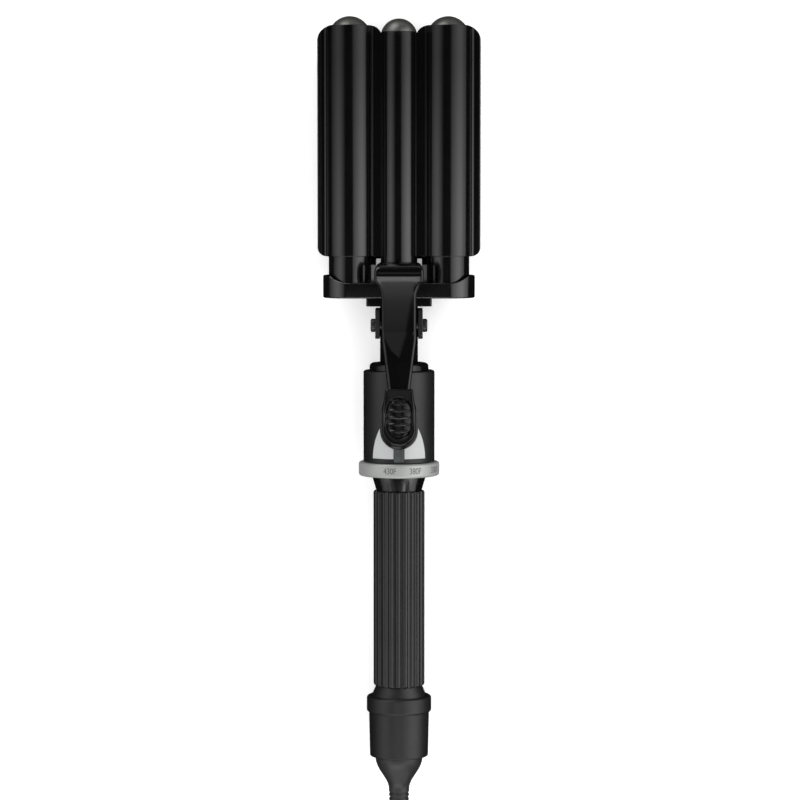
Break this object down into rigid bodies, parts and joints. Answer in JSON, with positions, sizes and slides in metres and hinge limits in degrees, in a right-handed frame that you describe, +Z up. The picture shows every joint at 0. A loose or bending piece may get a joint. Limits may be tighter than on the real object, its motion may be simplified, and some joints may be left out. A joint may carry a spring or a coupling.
{
  "type": "hair waver",
  "caption": "Electric hair waver: fixed barrels in a yoke, a sprung clamp jaw with a barrel and curved plates, temperature dial ring, ribbed grip and a coiled swivel cord",
  "frame": {"origin": "Centre of the footprint without the cord, at the surface that the tool lies on", "axes": "+Y runs along the tool from the cord end to the tips, +Z is up, out of the lever side, and +X is to the right with the tips pointing away"},
  "size_m": [0.1165, 0.5813, 0.0572],
  "materials": {
    "gloss_black": "gloss",
    "barrel_black": "gloss",
    "tip_satin": "satin",
    "soft_black": "matte",
    "grip_rubber": "matte",
    "silver_satin": "satin",
    "ring_silver": "satin",
    "steel": "satin",
    "black_steel": "gloss",
    "brass": "satin",
    "heater_ceramic": "matte",
    "board_green": "matte",
    "lens_smoky": "gloss",
    "inner_plastic": "matte",
    "cord_black": "satin"
  },
  "bodies": {
    "handle": {"body_housing": "soft_black", "front_inlay": "silver_satin", "switch_frame": "inner_plastic", "circuit_board": "board_green", "resistor_track": "board_green", "neck_collar": "gloss_black", "collar_screws": "steel", "neck_stem": "black_steel", "pivot_bracket": "black_steel", "pivot_pin": "black_steel", "lever_spring": "steel", "stand_block": "gloss_black", "stand_pins": "steel", "jaw_yoke": "gloss_black", "yoke_screws": "steel", "left_barrel": "barrel_black", "right_barrel": "barrel_black", "left_tip": "tip_satin", "right_tip": "tip_satin", "left_heater": "heater_ceramic", "right_heater": "heater_ceramic", "rear_trough": "barrel_black", "switch_dome": "inner_plastic", "handle_neck": "gloss_black", "handle_core": "inner_plastic", "grip_sleeve": "grip_rubber", "end_cap": "soft_black", "contact_brushes": "brass", "cord_lead": "cord_black", "cord_coil": "cord_black", "cord_tail": "cord_black", "cord_tie": "inner_plastic", "plug_body": "cord_black", "plug_blades": "brass"},
    "lever": {"clamp_lever": "black_steel", "thumb_rest": "gloss_black", "lever_screws": "steel", "middle_barrel": "barrel_black", "middle_tip": "tip_satin", "middle_heater": "heater_ceramic", "left_clamp_plate": "barrel_black", "right_clamp_plate": "barrel_black"},
    "dial": {"dial_ring": "ring_silver", "dial_wiper": "brass"},
    "button": {"power_button": "lens_smoky"},
    "stand": {"rest_stand": "black_steel"},
    "boot": {"swivel_boot": "soft_black", "slip_rings": "brass"}
  },
  "joints": [
    {"name": "lever_pivot", "type": "hinge", "parent": "handle", "child": "lever", "pos_m": [0, 0.0587, 0.03355], "axis": [1, 0, 0], "range_deg": [0, 12], "stiffness_Nm_per_rad": 0.5, "springref_deg": -17.19, "deforming": ["lever_spring"]},
    {"name": "dial_turn", "type": "hinge", "parent": "handle", "child": "dial", "pos_m": [0, -0.01345, 0.02015], "axis": [0, 1, 0], "range_deg": [-135, 13]},
    {"name": "button_press", "type": "slide", "parent": "handle", "child": "button", "axis": [0, 0, -1], "range_m": [0, 0.0006], "stiffness_N_per_m": 1500, "springref_m": -0.0007, "deforming": ["switch_dome"]},
    {"name": "stand_fold", "type": "hinge", "parent": "handle", "child": "stand", "pos_m": [0, 0.0699, 0.00965], "axis": [-1, 0, 0], "range_deg": [0, 70]},
    {"name": "cord_swivel", "type": "hinge", "parent": "handle", "child": "boot", "pos_m": [0, -0.1589, 0.02015], "axis": [0, 1, 0], "continuous": true}
  ]
}
